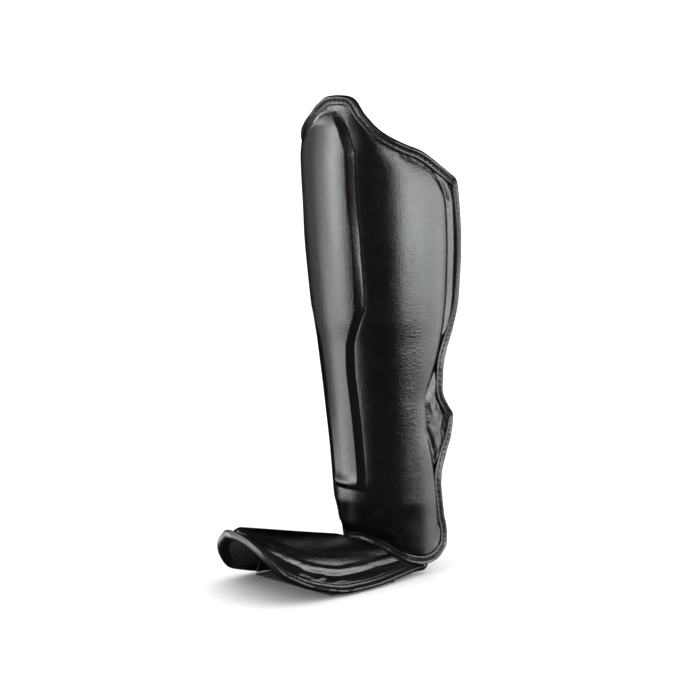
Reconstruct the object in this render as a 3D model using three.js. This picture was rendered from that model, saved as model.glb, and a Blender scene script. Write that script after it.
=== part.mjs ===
// Shin and instep guard: a padded leather shin shell, a foot guard hinged to it at the
// ankle, and two calf straps that close with hook and loop. Millimetres, +Z up, toes
// towards -Y. It is modelled around the ankle's centre on the ground; the last lines move
// the origin to the middle of the footprint.
import * as THREE from 'three';

// ---- driving dimensions ----------------------------------------------------------------

const GAP = 0.3;                 // clearance left between layers that touch in the real guard

// The shin's cross-sections are circles. Height: radius, and height: the circle's centre in Y.
const SHIN_RADIUS = [[0, 50], [60, 50.5], [100, 51.5], [150, 53.5], [200, 57.5], [250, 61.5],
  [300, 64.5], [350, 65.5], [420, 64.5]];
const SHIN_CENTRE_Y = [[0, 2], [60, 0], [100, -2], [150, -6], [200, -8.5], [250, -10.5],
  [300, -12.5], [350, -15], [420, -19]];

// The shin's outline. Angles are degrees around from the front.
const SHIN_TOP = [[0, 411], [12, 410.5], [22, 408], [31, 402], [44, 384], [54, 376], [73, 367], [90, 358],
  [110, 342]];
const SHIN_SIDE = [[27, 103], [36, 103], [50, 98], [64, 94.7], [82, 92.6], [90, 94], [107, 102.6],
  [121, 113], [137, 119], [146, 107], [161, 96], [178, 96], [195, 99.5], [211, 108], [236, 120.5],
  [268, 123.5], [310, 117], [342, 110]];
const SHIN_BOTTOM = [[0, 34.5], [20, 31], [44, 20.5], [62, 13], [73, 11.5], [87, 16], [103, 27]];

// The thickly padded panel inside that outline.
const PANEL_TOP = [[0, 397], [20, 395], [30, 387], [46, 365], [57, 358], [72, 352], [90, 337]];
const PANEL_SIDE = [[22, 82], [38, 88], [56, 87], [73, 85.5], [92, 83], [110, 79.5], [132, 72.5],
  [150, 72.5], [175, 82], [196, 89], [222, 95], [247, 97.4], [281, 96.8], [319, 94.7], [346, 84]];
const PANEL_BOTTOM = [[0, 42], [20, 39], [44, 27.5], [56, 22.5], [68, 21.5], [79, 23], [92, 38]];
const PANEL_EDGE_RUN = 9;        // distance over which the padding thins out to the flange
const PANEL_EDGE_ANGLE = 4.4;    // half of that, as an angle

// The raised bar down the front: its half-angle and its height above the panel.
const RIDGE_HALF_ANGLE = [[78, 13.7], [110, 12.6], [163, 12], [198, 12], [219, 17.4], [235, 21.6],
  [354, 21.6], [366, 20], [379, 15], [392, 8]];
const RIDGE_HEIGHT = [[77, 0], [80, 10], [190, 10.5], [225, 13], [384, 13], [393, 0]];
const RIDGE_SIDE_ANGLE = 3.2;    // angle taken by its steep side wall

// Depths below the nominal outer surface, [on the thin flange, under the padded panel].
const SHELL_OUTER = [2.5, 0];
const SHELL_THICKNESS = 1.2;
const FOAM_INNER = [5.4, 9.2];
const LINING_OUTER = [5.7, 12.3];
const LINING_THICKNESS = 0.9;
const BINDING_DEPTHS = [2.0, 7.1];
const BINDING_WIDTH = 5;

// The foot guard is an arch of constant radius whose crown rises towards the toes.
const FOOT_RADIUS = 62;
const FOOT_CROWN = [[-190, 59.8], [0, 27.6]];
const FOOT_REAR_Y = -62;
const FOOT_FRONT_INNER = [[0, -189], [24, -189.5], [39, -187.5], [51, -183], [60, -177], [66.5, -162]];
const FOOT_FRONT_OUTER = [[0, -189], [12, -184], [24, -176], [34, -171.5], [44, -170], [54, -166],
  [61, -160], [66.5, -149]];
const FOOT_SIDE = [[-163, 66], [-148, 70], [-132, 72], [-116, 73], [-95, 69.5], [-75, 65.5],
  [-62, 62.5]];
const FOOT_PAD_SETBACK = [[0, 5], [25, 12], [39, 20], [66, 15]];
const FOOT_PAD_HALF_ANGLE = 43;
const FOOT_PAD_HEIGHT = 5;
const FOOT_PAD_WALL = 4;         // run of the step up to the instep pad
const FOOT_SHELL_OUTER = [1.5, 0];
const FOOT_FOAM_INNER = [4.4, 7.5];
const FOOT_LINING_OUTER = [4.7, 7.8];
const FOOT_BINDING_DEPTHS = [1.0, 5.9];

// The flexible panel that joins the two at the ankle.
const GUSSET_REAR = [[0, -46], [30, -42], [45, -30], [56, -6]];
const GUSSET_SIDE = [[-61, 62], [-44, 54], [-25, 50], [-6, 47]];
const GUSSET_DEPTHS = [1.6, 5.2];
const GUSSET_DIP = 0.12;         // it sinks this much per millimetre as it passes under the shin

// The elastic band under the sole lies flat on the ground.
const ELASTIC_HALF_WIDTH = 49;
const ELASTIC_Y = [-122, -50];
const ELASTIC_THICKNESS = 2;
const ELASTIC_TAB_Y = [-121, -88];
const ELASTIC_TAB_TOP_ANGLE = 48;
const ELASTIC_TAB_DEPTH = 9.3;
const ELASTIC_TAB_THICKNESS = 1.8;

// Calf straps. Angles run on round the calf from the inner wing to the face of the outer one.
const STRAPS = [
  { name: 'upper', low: 272, high: 340,
    tabEnd: 100, start: 126, seam: 172, end: 292, pullTab: 298, tapeAngle: 40 },
  { name: 'lower', low: 96, high: 142,
    tabEnd: 98, start: 122, seam: 170, end: 287, pullTab: 293, tapeAngle: 22 },
];
const STRAP_THICKNESS = 2;
const STRAP_INNER_HEIGHT = -9.6; // radial height of the strap behind the calf
const STRAP_CLOSED_HEIGHT = 3.2; // and where it lies on the outer wing
const STRAP_RISE = [165, 226];   // angles between which it climbs from one to the other
const STRAP_SAG = 3;             // the elastic runs this much inside the arc, halfway along
const TOUCH_THICKNESS = 1;       // hook tape and loop tape
const SEAM_GAP = 1;              // degrees left open at each strap seam
const TAPE_MARGIN = 4;           // tapes stop short by this much: mm at the edges, degrees at the ends
const PULL_TAB_MARGIN = 14;      // the pull tab is this much narrower on each side
const PULL_TAB_THICKNESS = 1.4;
const PULL_TAB_GAP = 0.4;        // degrees between the flap's end and its pull tab
const ANCHOR_MARGIN = 1;

// ---- small helpers ---------------------------------------------------------------------

const { clamp, degToRad: radians, lerp, radToDeg: degrees, smoothstep } = THREE.MathUtils;

/** Value at x of the smooth curve through [x, y] knots, level wherever the knots turn. */
function through(knots, x) {
  const at = clamp(x, knots[0][0], knots.at(-1)[0]);
  const next = Math.max(1, knots.findIndex(([knotX]) => knotX >= at));
  const slope = (i) => (knots[i + 1][1] - knots[i][1]) / (knots[i + 1][0] - knots[i][0]);
  const tangent = (i) => {
    if (i === 0 || i === knots.length - 1) return slope(Math.min(i, knots.length - 2));
    const [before, after] = [slope(i - 1), slope(i)];
    return before * after > 0 ? (2 * before * after) / (before + after) : 0;
  };
  const [[x0, y0], [x1, y1]] = [knots[next - 1], knots[next]];
  const span = x1 - x0;
  const k = (at - x0) / span;
  const bend0 = (tangent(next - 1) * span - (y1 - y0)) * (1 - k);
  const bend1 = (y1 - y0 - tangent(next) * span) * k;
  return lerp(y0, y1, k) + k * (1 - k) * (bend0 + bend1);
}

/** Numbers from first to last in equal steps, both ends included. */
function steps(first, last, count) {
  return Array.from({ length: count + 1 }, (_, i) => lerp(first, last, i / count));
}

/** Grid columns on both sides of the middle, from those on one side. */
function mirrored(half) {
  return [...half.toReversed().map((u) => -u), 0, ...half];
}

/** A solid from a list of points and a list of quads, with flat shading. */
function solid(points, quads) {
  const geometry = new THREE.BufferGeometry();
  geometry.setAttribute('position', new THREE.Float32BufferAttribute(points.flatMap((p) => p.toArray()), 3));
  geometry.setIndex(quads.flatMap(([a, b, c, d]) => [a, b, c, a, c, d]));
  const flat = geometry.toNonIndexed();
  flat.computeVertexNormals();
  return flat;
}

/** The closed slab between two curved faces, each a function of (u, v) that gives a point. */
function slab(us, vs, outerFace, innerFace) {
  const [columns, rows] = [us.length, vs.length];
  const grid = (face) => us.flatMap((u) => vs.map((v) => face(u, v)));
  const outer = (i, j) => i * rows + j;
  const inner = (i, j) => columns * rows + i * rows + j;
  const quads = [];
  for (let i = 0; i < columns - 1; i += 1) {
    for (let j = 0; j < rows - 1; j += 1) {
      quads.push([outer(i, j), outer(i + 1, j), outer(i + 1, j + 1), outer(i, j + 1)]);
      quads.push([inner(i, j), inner(i, j + 1), inner(i + 1, j + 1), inner(i + 1, j)]);
    }
  }
  for (let i = 0; i < columns - 1; i += 1) {
    quads.push([outer(i, 0), inner(i, 0), inner(i + 1, 0), outer(i + 1, 0)]);
    quads.push([outer(i, rows - 1), outer(i + 1, rows - 1), inner(i + 1, rows - 1), inner(i, rows - 1)]);
  }
  for (let j = 0; j < rows - 1; j += 1) {
    quads.push([outer(0, j), outer(0, j + 1), inner(0, j + 1), inner(0, j)]);
    const end = columns - 1;
    quads.push([outer(end, j), inner(end, j), inner(end, j + 1), outer(end, j + 1)]);
  }
  return solid([...grid(outerFace), ...grid(innerFace)], quads);
}

/** A band swept along stations of four corners, joined into a ring when it is closed. */
function band(stations, closed) {
  const quads = [];
  const corner = (i, k) => (i % stations.length) * 4 + (k % 4);
  const last = closed ? stations.length : stations.length - 1;
  for (let i = 0; i < last; i += 1) {
    for (let k = 0; k < 4; k += 1) {
      quads.push([corner(i, k), corner(i, k + 1), corner(i + 1, k + 1), corner(i + 1, k)]);
    }
  }
  if (!closed) {
    quads.push([3, 2, 1, 0].map((k) => corner(0, k)));
    quads.push([0, 1, 2, 3].map((k) => corner(stations.length - 1, k)));
  }
  return solid(stations.flat(), quads);
}

const guard = new THREE.Group();

/** Adds one named sub-part with a material of its own. */
function add(name, [color, roughness], geometry) {
  const material = new THREE.MeshStandardMaterial({ color, roughness, metalness: 0 });
  const mesh = new THREE.Mesh(geometry, material);
  mesh.name = name;
  guard.add(mesh);
}

const LEATHER = [0x0b0b0c, 0.32];
const TRIM = [0x0d0d0e, 0.4];
const LINING = [0x141416, 0.8];
const FOAM = [0x3a3b3d, 0.95];
const SOFT_FOAM = [0x8d8f92, 0.98];
const ELASTIC = [0x101012, 0.9];
const TOUCH_TAPE = [0x0e0e10, 0.97];

// ---- shin surface ----------------------------------------------------------------------

/** Point at an angle round the shin, a height, and a distance out from the nominal surface. */
function onShin(angle, z, out) {
  const r = through(SHIN_RADIUS, z) + out;
  const a = radians(angle);
  return new THREE.Vector3(r * Math.sin(a), through(SHIN_CENTRE_Y, z) - r * Math.cos(a), z);
}

/** Angle at column u, whose columns run along the ridge's sides and the padded panel's edge. */
function spread(knots, u) {
  const next = Math.max(1, knots.findIndex(([column]) => column >= Math.abs(u)));
  const [[c0, a0], [c1, a1]] = [knots[next - 1], knots[next]];
  return Math.sign(u) * lerp(a0, a1, (Math.abs(u) - c0) / (c1 - c0));
}

function shinAngle(u, z, inset) {
  const half = through(SHIN_SIDE, z) - degrees(inset / through(SHIN_RADIUS, z));
  const plateau = through(RIDGE_HALF_ANGLE, z);
  const panel = Math.min(through(PANEL_SIDE, z), half - PANEL_EDGE_ANGLE);
  const angle = spread([[0, 0], [RIDGE_COLUMN, plateau], [WALL_COLUMN, plateau + RIDGE_SIDE_ANGLE],
    [PANEL_COLUMN, panel - PANEL_EDGE_ANGLE], [1, half]], u);
  return { angle, part: angle / half };
}

/** Angle and height of grid place (u, t): u runs edge to edge, t bottom to top. */
function shinPlace(u, t, inset) {
  const height = (part) => {
    const low = through(SHIN_BOTTOM, Math.abs(part) * SHIN_BOTTOM.at(-1)[0]) + inset;
    const high = through(SHIN_TOP, Math.abs(part) * SHIN_TOP.at(-1)[0]) - inset;
    return lerp(low, high, t);
  };
  const z = height(shinAngle(u, height(u), inset).part);
  return [shinAngle(u, z, inset).angle, z];
}

/** 1 on the padded panel, 0 on the flange round it. */
function padding(angle, z) {
  const reach = Math.abs(angle);
  const toSide = radians(through(PANEL_SIDE, z) - reach) * through(SHIN_RADIUS, z);
  const toTop = through(PANEL_TOP, reach) - z;
  const toBottom = z - through(PANEL_BOTTOM, reach);
  return smoothstep(Math.min(toSide, toTop, toBottom), -PANEL_EDGE_RUN / 2, PANEL_EDGE_RUN / 2);
}

/** Height of the front ridge above the panel. */
function ridge(angle, z) {
  const beyond = Math.abs(angle) - through(RIDGE_HALF_ANGLE, z);
  const fall = 1 - clamp(beyond / RIDGE_SIDE_ANGLE, 0, 1);
  return fall * Math.max(0, through(RIDGE_HEIGHT, z));
}

// Every shin layer shares one grid, so that the layers nest. Rows follow the outline's corners
// and the ridge's ends.
const RIDGE_COLUMN = 0.2;
const WALL_COLUMN = 0.27;
const PANEL_COLUMN = 0.72;
const SHIN_COLUMNS = mirrored([RIDGE_COLUMN, WALL_COLUMN, 0.42, 0.57, PANEL_COLUMN, 0.8, 0.9, 1]);
const SHIN_ROWS = [0, 0.07, 0.114, 0.123, 0.18, 0.255, 0.3, 0.35, 0.38, 0.43, 0.485, 0.55, 0.62, 0.69,
  0.77, 0.9, 0.931, 0.955, 1];
const RIDGE_ROWS = SHIN_ROWS.filter((t) => t >= 0.123 && t <= 0.931);
const PANEL_ROWS = SHIN_ROWS.filter((t) => t >= 0.07 && t <= 0.931);
const EDGE_INSET = BINDING_WIDTH + 2 * GAP;

/** Face of a shin layer: depths are [on the flange, under the panel], swell adds height. */
function shinFace(depths, extra = 0, swell = () => 0) {
  return (u, t) => {
    const [angle, z] = shinPlace(u, t, EDGE_INSET);
    return onShin(angle, z, swell(angle, z) - lerp(...depths, padding(angle, z)) - extra);
  };
}

const SHELL_INNER = SHELL_OUTER.map((depth) => depth + SHELL_THICKNESS);
const FOAM_OUTER = SHELL_INNER.map((depth) => depth + GAP);
const ridgeColumns = SHIN_COLUMNS.filter((u) => Math.abs(u) <= RIDGE_COLUMN);
const panelColumns = SHIN_COLUMNS.filter((u) => Math.abs(u) <= PANEL_COLUMN);

add('shin_shell', LEATHER, slab(SHIN_COLUMNS, SHIN_ROWS,
  shinFace(SHELL_OUTER, 0, ridge), shinFace(SHELL_INNER, 0, ridge)));
add('shin_foam', FOAM, slab(SHIN_COLUMNS, SHIN_ROWS, shinFace(FOAM_OUTER), shinFace(FOAM_INNER)));
add('shin_lining', LINING, slab(SHIN_COLUMNS, SHIN_ROWS,
  shinFace(LINING_OUTER), shinFace(LINING_OUTER, LINING_THICKNESS)));
// The ridge bar lies between the firm foam and the shell that is stretched over it.
add('shin_ridge_foam', FOAM, slab(ridgeColumns, RIDGE_ROWS,
  shinFace(SHELL_INNER, GAP, ridge), shinFace(FOAM_OUTER, -GAP)));
// The soft inner foam fills the space between the firm foam and the lining.
add('shin_comfort_foam', SOFT_FOAM, slab(panelColumns, PANEL_ROWS,
  shinFace(FOAM_INNER, GAP), shinFace(LINING_OUTER, -GAP)));

/** Once round the edge of a grid, anticlockwise seen from outside. */
function perimeter(columns, rows) {
  return [
    ...columns.slice(0, -1).map((u) => [u, rows[0]]),
    ...rows.slice(0, -1).map((t) => [columns.at(-1), t]),
    ...columns.slice(1).toReversed().map((u) => [u, rows.at(-1)]),
    ...rows.slice(1).toReversed().map((t) => [columns[0], t]),
  ];
}

/** Four corners of an edge binding's section at one place on a guard's edge. */
function bindingSection(place, onSurface, [outer, inner]) {
  return ([u, v]) => {
    const corner = (inset, depth) => onSurface(...place(u, v, inset), -depth);
    return [corner(0, outer), corner(0, inner), corner(BINDING_WIDTH, inner), corner(BINDING_WIDTH, outer)];
  };
}

const shinEdge = perimeter(SHIN_COLUMNS, SHIN_ROWS);
add('shin_binding', TRIM, band(shinEdge.map(bindingSection(shinPlace, onShin, BINDING_DEPTHS)), true));

// ---- foot guard ------------------------------------------------------------------------

const archCentreZ = (y) => through(FOOT_CROWN, y) - FOOT_RADIUS;

/** Point at an angle across the arch, a place along it, and a distance out. */
function onFoot(angle, y, out) {
  const a = radians(angle);
  const r = FOOT_RADIUS + out;
  return new THREE.Vector3(r * Math.sin(a), y, archCentreZ(y) + r * Math.cos(a));
}

/** Angle and Y of grid place (u, v): u runs side to side, v from the toes to the ankle. */
function footPlace(u, v, inset) {
  const knots = u > 0 ? FOOT_FRONT_INNER : FOOT_FRONT_OUTER;
  const reach = Math.abs(u) * knots.at(-1)[0];
  const front = through(knots, reach) + inset;
  const setback = through(FOOT_PAD_SETBACK, reach);
  const y = through([[0, front], [PAD_WALL_ROW, front + setback],
    [PAD_ROW, front + setback + FOOT_PAD_WALL], [1, FOOT_REAR_Y]], v);
  const half = through(FOOT_SIDE, y) - degrees(inset / FOOT_RADIUS);
  const wall = FOOT_PAD_HALF_ANGLE + degrees(FOOT_PAD_WALL / FOOT_RADIUS);
  const angle = spread([[0, 0], [PAD_COLUMN, FOOT_PAD_HALF_ANGLE], [PAD_WALL_COLUMN, wall], [1, half]], u);
  return [angle, y];
}

const PAD_COLUMN = 0.6;
const PAD_WALL_COLUMN = 0.68;
const PAD_WALL_ROW = 0.14;
const PAD_ROW = 0.19;
const FOOT_COLUMNS = mirrored([0.2, 0.4, PAD_COLUMN, PAD_WALL_COLUMN, 0.84, 1]);
const FOOT_ROWS = [0, 0.07, PAD_WALL_ROW, PAD_ROW, 0.32, 0.45, 0.6, 0.75, 0.88, 1];

/** Face of a foot layer: depths are [on the rim, in the middle], rise lifts it over the pad. */
function footFace(depths, extra = 0, rise = 0) {
  return (u, v) => {
    const raised = Math.abs(u) <= PAD_COLUMN && v >= PAD_ROW;
    const onRim = Math.abs(u) > PAD_WALL_COLUMN || v < PAD_WALL_ROW;
    const out = (raised ? rise : 0) - (onRim ? depths[0] : depths[1]) - extra;
    return onFoot(...footPlace(u, v, EDGE_INSET), out);
  };
}

const FOOT_SHELL_INNER = FOOT_SHELL_OUTER.map((depth) => depth + SHELL_THICKNESS);
const FOOT_FOAM_OUTER = FOOT_SHELL_INNER.map((depth) => depth + GAP);
const padColumns = FOOT_COLUMNS.filter((u) => Math.abs(u) <= PAD_COLUMN);
const padRows = FOOT_ROWS.filter((v) => v >= PAD_ROW);

add('foot_shell', LEATHER, slab(FOOT_COLUMNS, FOOT_ROWS,
  footFace(FOOT_SHELL_OUTER, 0, FOOT_PAD_HEIGHT), footFace(FOOT_SHELL_INNER, 0, FOOT_PAD_HEIGHT)));
add('foot_foam', FOAM, slab(FOOT_COLUMNS, FOOT_ROWS, footFace(FOOT_FOAM_OUTER), footFace(FOOT_FOAM_INNER)));
add('foot_lining', LINING, slab(FOOT_COLUMNS, FOOT_ROWS,
  footFace(FOOT_LINING_OUTER), footFace(FOOT_LINING_OUTER, LINING_THICKNESS)));
// The instep pad lies between the foot foam and the shell.
add('foot_instep_pad', SOFT_FOAM, slab(padColumns, padRows,
  footFace(FOOT_SHELL_INNER, GAP, FOOT_PAD_HEIGHT), footFace(FOOT_FOAM_OUTER, -GAP)));

// The edge binding runs down one side, round the toes and up the other side.
const footEdge = [
  ...FOOT_ROWS.slice(1).toReversed().map((v) => [-1, v]),
  ...FOOT_COLUMNS.map((u) => [u, 0]),
  ...FOOT_ROWS.slice(1).map((v) => [1, v]),
];
add('foot_binding', TRIM, band(footEdge.map(bindingSection(footPlace, onFoot, FOOT_BINDING_DEPTHS)), false));

/** Flexible panel from the foot guard's rear edge, under the shin's lower edge and lobes. */
function ankleGusset() {
  const face = (depth) => (s, v) => {
    const y = lerp(FOOT_REAR_Y + 1, through(GUSSET_REAR, Math.abs(s) * GUSSET_REAR.at(-1)[0]), v);
    const dip = GUSSET_DIP * (y - FOOT_REAR_Y);
    return onFoot(s * through(GUSSET_SIDE, y), y, -depth - dip);
  };
  const [outer, inner] = GUSSET_DEPTHS;
  return slab(steps(-1, 1, 16), steps(0, 1, 5), face(outer), face(inner));
}
add('ankle_gusset', LEATHER, ankleGusset());

/** The flat elastic under the sole, and the leather tab at each end that holds it. */
function soleElastic() {
  const [front, rear] = ELASTIC_Y;
  const plate = new THREE.BoxGeometry(2 * ELASTIC_HALF_WIDTH, rear - front, ELASTIC_THICKNESS, 2, 2, 1);
  return plate.translate(0, (front + rear) / 2, ELASTIC_THICKNESS / 2);
}
add('foot_elastic', ELASTIC, soleElastic());

function elasticTab(side) {
  const face = (depth) => (u, v) => {
    const y = lerp(...ELASTIC_TAB_Y, v);
    const r = FOOT_RADIUS - ELASTIC_TAB_DEPTH - ELASTIC_TAB_THICKNESS;
    const foot = degrees(Math.acos((ELASTIC_THICKNESS + 2 * GAP - archCentreZ(y)) / r));
    const angle = lerp(ELASTIC_TAB_TOP_ANGLE, foot, side > 0 ? u : 1 - u);
    return onFoot(side * angle, y, -depth);
  };
  return slab(steps(0, 1, 4), steps(0, 1, 3), face(ELASTIC_TAB_DEPTH),
    face(ELASTIC_TAB_DEPTH + ELASTIC_TAB_THICKNESS));
}
add('foot_elastic_tab_inner', TRIM, elasticTab(1));
add('foot_elastic_tab_outer', TRIM, elasticTab(-1));

// ---- calf straps -----------------------------------------------------------------------

/** Radial height of a strap's inner face at an angle round the calf. */
function strapHeight({ start, seam }, angle) {
  const along = clamp((angle - start) / (seam - start), 0, 1);
  const climb = smoothstep(angle, ...STRAP_RISE);
  return lerp(STRAP_INNER_HEIGHT, STRAP_CLOSED_HEIGHT, climb) - STRAP_SAG * Math.sin(Math.PI * along);
}

/** A curved strip of strap between two angles, lifted off the strap's line and set in at its edges. */
function strip(strap, from, to, divisions, { lift = 0, thickness = STRAP_THICKNESS, margin = 0 } = {}) {
  const face = (out) => (u, v) => {
    const angle = lerp(from, to, u);
    const z = lerp(strap.low + margin, strap.high - margin, v);
    return onShin(angle, z, strapHeight(strap, angle) + out);
  };
  return slab(steps(0, 1, divisions), steps(0, 1, 2), face(lift + thickness), face(lift));
}

const FULL_TURN = 360;

/** Loop tape on the outer wing, under where the closed strap lands. */
function loopPatch(strap) {
  const to = strap.end - FULL_TURN - TAPE_MARGIN;
  const from = to - strap.tapeAngle;
  const face = (out) => (u, v) => {
    const z = lerp(strap.low + TAPE_MARGIN, strap.high - TAPE_MARGIN, v);
    return onShin(lerp(from, to, u), z, out);
  };
  return slab(steps(0, 1, 6), steps(0, 1, 3), face(GAP + TOUCH_THICKNESS), face(GAP));
}

for (const strap of STRAPS) {
  const name = `${strap.name}_strap`;
  const anchorEnd = strap.start - SEAM_GAP;
  const hookEnd = strap.end - TAPE_MARGIN;
  const hook = { lift: -GAP - TOUCH_THICKNESS, thickness: TOUCH_THICKNESS, margin: TAPE_MARGIN };
  const pullTab = { lift: GAP, thickness: PULL_TAB_THICKNESS, margin: PULL_TAB_MARGIN };
  add(`${name}_anchor`, TRIM, strip(strap, strap.tabEnd, anchorEnd, 4, { margin: ANCHOR_MARGIN }));
  add(`${name}_elastic`, ELASTIC, strip(strap, strap.start, strap.seam, 6));
  add(`${name}_flap`, LEATHER, strip(strap, strap.seam + SEAM_GAP, strap.end, 14));
  add(`${name}_hook`, TOUCH_TAPE, strip(strap, hookEnd - strap.tapeAngle, hookEnd, 6, hook));
  add(`${name}_pull_tab`, TRIM, strip(strap, strap.end + PULL_TAB_GAP, strap.pullTab, 2, pullTab));
  add(`${strap.name}_loop_patch`, TOUCH_TAPE, loopPatch(strap));
}

// ---- origin at the middle of the footprint ---------------------------------------------

const box = new THREE.Box3().setFromObject(guard);
const middle = box.getCenter(new THREE.Vector3());
guard.position.set(-middle.x, -middle.y, -box.min.z);

export default guard;
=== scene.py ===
"""Looks of the shin guard: black satin leather over firm padding, with sewn edge tapes."""

import math

import bpy
import numpy as np
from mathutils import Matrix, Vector


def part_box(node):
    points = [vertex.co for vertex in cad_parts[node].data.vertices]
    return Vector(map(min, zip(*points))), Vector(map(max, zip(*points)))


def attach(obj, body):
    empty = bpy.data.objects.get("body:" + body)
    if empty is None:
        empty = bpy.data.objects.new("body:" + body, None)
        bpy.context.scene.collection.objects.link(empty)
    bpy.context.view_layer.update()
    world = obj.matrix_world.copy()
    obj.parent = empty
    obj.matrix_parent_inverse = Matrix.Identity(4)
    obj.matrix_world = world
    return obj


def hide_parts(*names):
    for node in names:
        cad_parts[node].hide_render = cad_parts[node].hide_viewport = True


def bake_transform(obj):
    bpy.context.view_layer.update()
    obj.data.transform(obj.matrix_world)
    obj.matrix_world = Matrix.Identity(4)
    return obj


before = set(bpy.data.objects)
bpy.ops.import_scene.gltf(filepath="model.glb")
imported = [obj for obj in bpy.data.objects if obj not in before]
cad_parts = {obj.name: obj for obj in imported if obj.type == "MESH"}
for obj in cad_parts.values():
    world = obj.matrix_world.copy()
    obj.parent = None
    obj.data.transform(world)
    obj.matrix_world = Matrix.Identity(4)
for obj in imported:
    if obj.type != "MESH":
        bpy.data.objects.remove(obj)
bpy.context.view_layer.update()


def linked(name, data):
    """A new object in the scene."""
    thing = bpy.data.objects.new(name, data)
    bpy.context.scene.collection.objects.link(thing)
    return thing


# ---- camera ----

CAMERA_AIM = Vector((0.0043, 0.0124, 0.195))
CAMERA_AZIMUTH = math.radians(47.93)
CAMERA_ELEVATION = math.radians(7.63)
CAMERA_DISTANCE = 1.802
CAMERA_LENS = 108.9


def add_camera():
    data = bpy.data.cameras.new("camera")
    data.lens = CAMERA_LENS
    camera = linked("camera", data)
    level = math.cos(CAMERA_ELEVATION)
    across, forward = math.sin(CAMERA_AZIMUTH) * level, math.cos(CAMERA_AZIMUTH) * level
    back = Vector((across, -forward, math.sin(CAMERA_ELEVATION)))
    camera.location = CAMERA_AIM + back * CAMERA_DISTANCE
    camera.rotation_euler = (-back).to_track_quat("-Z", "Y").to_euler()
    bpy.context.scene.camera = camera


add_camera()

# ---- driving dimensions, in millimetres and degrees ----

# Curves are lists of (where, value) knots. Along the shin they run by height above the ground and
# along the foot by Y from the ankle. Tops, bottoms, fronts and rears run by angle from the middle.
SHIN_RADIUS = [(0, 50), (60, 50.5), (100, 51.5), (150, 53.5), (200, 57.5), (250, 61.5), (300, 64.5),
               (350, 65.5), (420, 64.5)]
SHIN_CENTRE_Y = [(0, 2), (60, 0), (100, -2), (150, -6), (200, -8.5), (250, -10.5), (300, -12.5),
                 (350, -15), (420, -19)]
SHIN_TOP_REAR = [(80, 360), (90, 352.5), (100, 346), (110, 341)]
SHIN_TOP_INNER = [(0, 408.8), (5, 410.2), (13.5, 411), (22.2, 410.2), (27.4, 407.3), (35, 397.5),
                  (42.7, 384.5), (49, 378.5), (62, 370.5), (72, 366), *SHIN_TOP_REAR]
SHIN_TOP_OUTER = [(0, 408.8), (6, 406.6), (15, 403), (24, 396.5), (31, 389), (40, 381), (50, 374),
                  (66, 368), *SHIN_TOP_REAR]
SHIN_TOP_REACH = SHIN_TOP_REAR[-1][0]
SHIN_SIDE = [(27, 103), (36, 103), (50, 98), (64, 94.7), (82, 92.6), (90, 94), (107, 102.6), (121, 113),
             (137, 119), (146, 107), (161, 96), (178, 96), (195, 99.5), (211, 108), (236, 120.5),
             (268, 123.5), (310, 117), (342, 110)]
SHIN_BOTTOM = [(0, 27), (20, 24), (44, 15), (62, 10), (73, 9), (87, 12), (103, 23)]
FRONT_TUCK = 5  # the front of the lower edge turns inwards over the ankle by this much
PANEL_TOP = [(0, 395), (12, 398), (22, 397), (30, 389), (40, 374), (50, 365), (62, 358), (74, 352),
             (90, 337)]
PANEL_SIDE = [(22, 82), (38, 88), (56, 87), (73, 85.5), (92, 83), (110, 79.5), (132, 72.5), (150, 72.5),
              (175, 82), (196, 89), (222, 95), (247, 97.4), (281, 96.8), (319, 94.7), (346, 84)]
PANEL_BOTTOM = [(0, 42), (20, 39), (44, 27.5), (56, 22.5), (68, 21.5), (79, 23), (92, 38)]
PANEL_EDGE_ANGLE = 4.4
# The padding fills the body out beyond its radius: all round, and further towards the front.
FULLER_ROUND = [(30, 0.5), (50, 1.5), (65, 2.5), (100, 2.7), (200, 3), (411, 3)]
FULLER_FRONT = [(30, 0.5), (50, 2), (65, 4), (100, 4.6), (200, 4.8), (225, 6), (355, 6), (385, 3),
                (411, 2)]
# The ridge: half its level top, how far round its middle lies, its height and its walls' run.
RIDGE_HALF_ANGLE = [(80, 12.8), (133, 12.4), (176, 11), (198, 12.2), (220, 18.6), (236, 22.6),
                    (283, 23.2), (325, 21.2), (360, 20.8), (372, 17.5), (381, 12.8), (388, 8), (396, 2)]
RIDGE_CENTRE_ANGLE = [(360, 0), (372, 0.8), (382, 3), (396, 7)]
RIDGE_HEIGHT = [(75, 0), (81, 3.3), (383, 3.3), (398, 0)]
RIDGE_SIDE_ANGLE = [(84, 6.4), (150, 6.8), (190, 6.4), (215, 5.2), (240, 6.6), (283, 5.2), (325, 6),
                    (366, 6.6), (392, 8)]
APRON_HEIGHT = 2.2  # a low swell below the ridge's lower end

FOOT_RADIUS = 62
FOOT_CROWN = [(-190, 59.8), (0, 27.6)]
FOOT_FRONT_INNER = [(0, -189), (24, -189.5), (39, -187.5), (51, -183), (60, -177), (66.5, -162)]
FOOT_FRONT_OUTER = [(0, -189), (16, -182), (32, -173.5), (46, -168.5), (57, -161.5), (66.5, -149)]
FOOT_SIDE = [(-163, 66), (-148, 70), (-132, 72), (-116, 73), (-95, 70.5), (-75, 67), (-61, 63.5),
             (-44, 58.8), (-25, 53.5), (-6, 48.5)]
FOOT_CROWN_DIP = [(-190, 3), (-165, 3.7), (-60, 7.3), (0, 8)]
CROWN_HALF_ANGLE = 34
FOOT_REAR = [(0, -30), (30, -21), (45, -9), (52, -6), (56, -6)]
FOOT_FRONT_REACH = FOOT_FRONT_INNER[-1][0]
FOOT_REAR_REACH = FOOT_REAR[-1][0]
GUSSET_DIP = 0.12  # the gusset drops this much for each millimetre behind the crease
GUSSET_RISE = 9  # the gusset turns up by this much inside the shin's lower edge

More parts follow.
